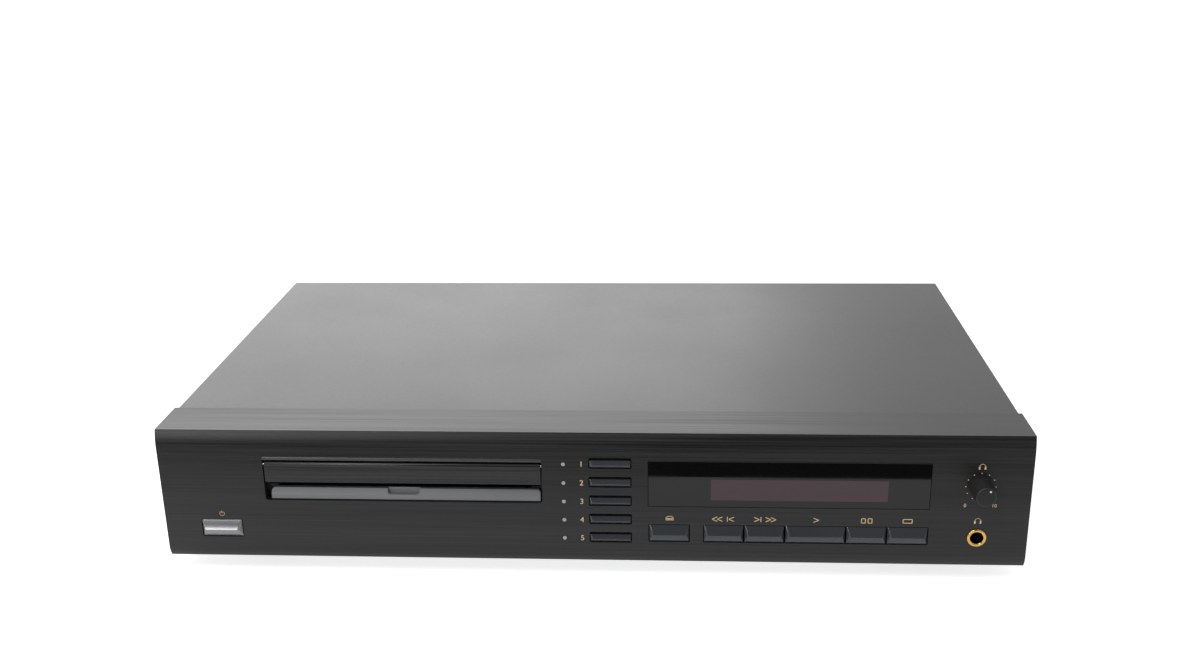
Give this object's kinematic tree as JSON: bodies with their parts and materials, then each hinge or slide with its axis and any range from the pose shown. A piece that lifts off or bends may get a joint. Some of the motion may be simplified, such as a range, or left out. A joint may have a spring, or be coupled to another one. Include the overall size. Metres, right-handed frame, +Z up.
{
  "type": "multi disc cd changer",
  "caption": "Full-width hi-fi disc changer with a motor-driven disc tray, an internal disc stocker, a front display, keys and a headphone output with its own level knob.",
  "frame": {"origin": "centre of the bounding box in plan, on the surface the feet stand on", "axes": "+X to the right seen from the front, +Y to the back (the front panel faces -Y), +Z up"},
  "size_m": [0.4324, 0.272, 0.079],
  "materials": {
    "panel": "black anodised, fine horizontal brushing",
    "cover": "satin black powder coat on folded steel",
    "steel": "zinc plated sheet steel",
    "rubber": "matte rubber",
    "black_plastic": "moulded black plastic",
    "gloss_black": "polished black acrylic",
    "screw": "black oxide steel",
    "trim": "satin gloss black plastic",
    "tray": "grey-black moulded plastic",
    "lip": "satin grey metallic paint",
    "key": "satin grey metallic paint",
    "power_key": "satin silver metallic paint",
    "lamp": "diffusing plastic light pipe",
    "tube_glass": "smoked tube glass",
    "circuit_board": "paper laminate board",
    "brass": "polished gold plated brass",
    "knob": "satin black plastic",
    "white_plastic": "natural acetal",
    "belt": "square rubber belt",
    "polished_steel": "ground steel rod",
    "iron": "varnished laminated iron",
    "cable": "flat ribbon cable",
    "nickel": "nickel plated barrels in black moulding"
  },
  "bodies": {
    "chassis": {"front_panel": "panel", "top_cover": "cover", "chassis_base": "steel", "rear_panel": "cover", "feet": "black_plastic", "foot_pads": "rubber", "case_screws": "screw", "tray_trim": "trim", "display_window": "gloss_black", "display_tube": "tube_glass", "display_board": "circuit_board", "indicator_lamps": "lamp", "key_switches": "black_plastic", "phones_board": "circuit_board", "phones_jack": "black_plastic", "jack_ring": "brass", "level_pot": "steel", "mechanism_frame": "black_plastic", "loading_motor": "steel", "loading_belt": "belt", "clamp_bridge": "steel", "main_board": "circuit_board", "transformer": "iron", "power_board": "circuit_board", "power_switch": "black_plastic", "rear_jacks": "nickel", "mains_inlet": "black_plastic", "flat_cables": "cable"},
    "door": {"tray_door": "panel", "door_pins": "polished_steel"},
    "tray": {"disc_tray": "tray", "tray_lip": "lip"},
    "drive_gear": {"drive_gear": "white_plastic"},
    "pulley_gear": {"pulley_gear": "white_plastic"},
    "motor_pulley": {"motor_pulley": "brass"},
    "carrier": {"carrier_base": "steel", "traverse_motors": "steel", "guide_rods": "polished_steel"},
    "turntable": {"turntable": "black_plastic"},
    "pickup": {"pickup": "black_plastic"},
    "lead_screw": {"lead_screw": "white_plastic"},
    "lift_wedge": {"lift_wedge": "white_plastic"},
    "stocker": {"stocker_cage": "black_plastic"},
    "lift_cams": {"lift_cams": "steel"},
    "clamper": {"clamper": "black_plastic"},
    "level_knob": {"phones_knob": "knob", "pot_shaft": "polished_steel"},
    "power_key": {"power_button": "power_key", "power_rod": "white_plastic"},
    "open_key": {"open_button": "key"},
    "skip_back_key": {"skip_back_button": "key"},
    "skip_forward_key": {"skip_forward_button": "key"},
    "play_key": {"play_button": "key"},
    "pause_key": {"pause_button": "key"},
    "stop_key": {"stop_button": "key"},
    "disc_key_1": {"disc_button_1": "key"},
    "disc_key_2": {"disc_button_2": "key"},
    "disc_key_3": {"disc_button_3": "key"},
    "disc_key_4": {"disc_button_4": "key"},
    "disc_key_5": {"disc_button_5": "key"}
  },
  "joints": [
    {"name": "door_swing", "type": "hinge", "parent": "chassis", "child": "door", "pos_m": [-0.09245, -0.1226, 0.0609], "axis": [-1, 0, 0], "range_deg": [0, 70], "stiffness_Nm_per_rad": 0.001},
    {"name": "tray_slide", "type": "slide", "parent": "chassis", "child": "tray", "axis": [0, -1, 0], "range_m": [0, 0.135]},
    {"name": "drive_gear_turn", "type": "hinge", "parent": "chassis", "child": "drive_gear", "pos_m": [-0.02645, -0.104, 0.0326], "axis": [1, 0, 0], "range_deg": [0, 775]},
    {"name": "pulley_gear_turn", "type": "hinge", "parent": "chassis", "child": "pulley_gear", "pos_m": [-0.02645, -0.08878, 0.02766], "axis": [1, 0, 0], "range_deg": [-1291, 0]},
    {"name": "motor_pulley_turn", "type": "hinge", "parent": "chassis", "child": "motor_pulley", "pos_m": [-0.03145, -0.06, 0.024], "axis": [1, 0, 0], "range_deg": [-4516, 0]},
    {"name": "wedge_slide", "type": "slide", "parent": "chassis", "child": "lift_wedge", "axis": [0, 1, 0], "range_m": [0, 0.01]},
    {"name": "carrier_lift", "type": "slide", "parent": "chassis", "child": "carrier", "axis": [0, 0, 1], "range_m": [0, 0.004]},
    {"name": "turntable_spin", "type": "hinge", "parent": "carrier", "child": "turntable", "pos_m": [-0.09245, -0.057, 0.039], "axis": [0, 0, 1], "continuous": true},
    {"name": "pickup_slide", "type": "slide", "parent": "carrier", "child": "pickup", "axis": [-1, 0, 0], "range_m": [0, 0.0335]},
    {"name": "lead_screw_turn", "type": "hinge", "parent": "carrier", "child": "lead_screw", "pos_m": [-0.12245, -0.038, 0.03], "axis": [1, 0, 0], "range_deg": [0, 1920]},
    {"name": "clamper_spin", "type": "hinge", "parent": "chassis", "child": "clamper", "pos_m": [-0.09245, -0.057, 0.049], "axis": [0, 0, 1], "continuous": true},
    {"name": "cam_slide", "type": "slide", "parent": "chassis", "child": "lift_cams", "axis": [0, -1, 0], "range_m": [0, 0.025]},
    {"name": "stocker_lift", "type": "slide", "parent": "chassis", "child": "stocker", "axis": [0, 0, 1], "range_m": [0, 0.02]},
    {"name": "level_turn", "type": "hinge", "parent": "chassis", "child": "level_knob", "pos_m": [0.1904, -0.13, 0.0528], "axis": [0, 1, 0], "range_deg": [-180, 120]},
    {"name": "power_press", "type": "slide", "parent": "chassis", "child": "power_key", "axis": [0, 1, 0], "range_m": [0, 0.003], "stiffness_N_per_m": 250},
    {"name": "open_press", "type": "slide", "parent": "chassis", "child": "open_key", "axis": [0, 1, 0], "range_m": [0, 0.0008], "stiffness_N_per_m": 300},
    {"name": "skip_back_press", "type": "slide", "parent": "chassis", "child": "skip_back_key", "axis": [0, 1, 0], "range_m": [0, 0.0008], "stiffness_N_per_m": 300},
    {"name": "skip_forward_press", "type": "slide", "parent": "chassis", "child": "skip_forward_key", "axis": [0, 1, 0], "range_m": [0, 0.0008], "stiffness_N_per_m": 300},
    {"name": "play_press", "type": "slide", "parent": "chassis", "child": "play_key", "axis": [0, 1, 0], "range_m": [0, 0.0008], "stiffness_N_per_m": 300},
    {"name": "pause_press", "type": "slide", "parent": "chassis", "child": "pause_key", "axis": [0, 1, 0], "range_m": [0, 0.0008], "stiffness_N_per_m": 300},
    {"name": "stop_press", "type": "slide", "parent": "chassis", "child": "stop_key", "axis": [0, 1, 0], "range_m": [0, 0.0008], "stiffness_N_per_m": 300},
    {"name": "disc_press_1", "type": "slide", "parent": "chassis", "child": "disc_key_1", "axis": [0, 1, 0], "range_m": [0, 0.0008], "stiffness_N_per_m": 300},
    {"name": "disc_press_2", "type": "slide", "parent": "chassis", "child": "disc_key_2", "axis": [0, 1, 0], "range_m": [0, 0.0008], "stiffness_N_per_m": 300},
    {"name": "disc_press_3", "type": "slide", "parent": "chassis", "child": "disc_key_3", "axis": [0, 1, 0], "range_m": [0, 0.0008], "stiffness_N_per_m": 300},
    {"name": "disc_press_4", "type": "slide", "parent": "chassis", "child": "disc_key_4", "axis": [0, 1, 0], "range_m": [0, 0.0008], "stiffness_N_per_m": 300},
    {"name": "disc_press_5", "type": "slide", "parent": "chassis", "child": "disc_key_5", "axis": [0, 1, 0], "range_m": [0, 0.0008], "stiffness_N_per_m": 300}
  ],
  "couplings": [
    {"joint": "drive_gear_turn", "follows": "tray_slide", "rad_per_m": 100},
    {"joint": "pulley_gear_turn", "follows": "tray_slide", "rad_per_m": -166.67},
    {"joint": "motor_pulley_turn", "follows": "tray_slide", "rad_per_m": -583.33},
    {"joint": "carrier_lift", "follows": "wedge_slide", "ratio": 0.4},
    {"joint": "lead_screw_turn", "follows": "pickup_slide", "rad_per_m": 1000},
    {"joint": "stocker_lift", "follows": "cam_slide", "ratio": 0.8}
  ]
}
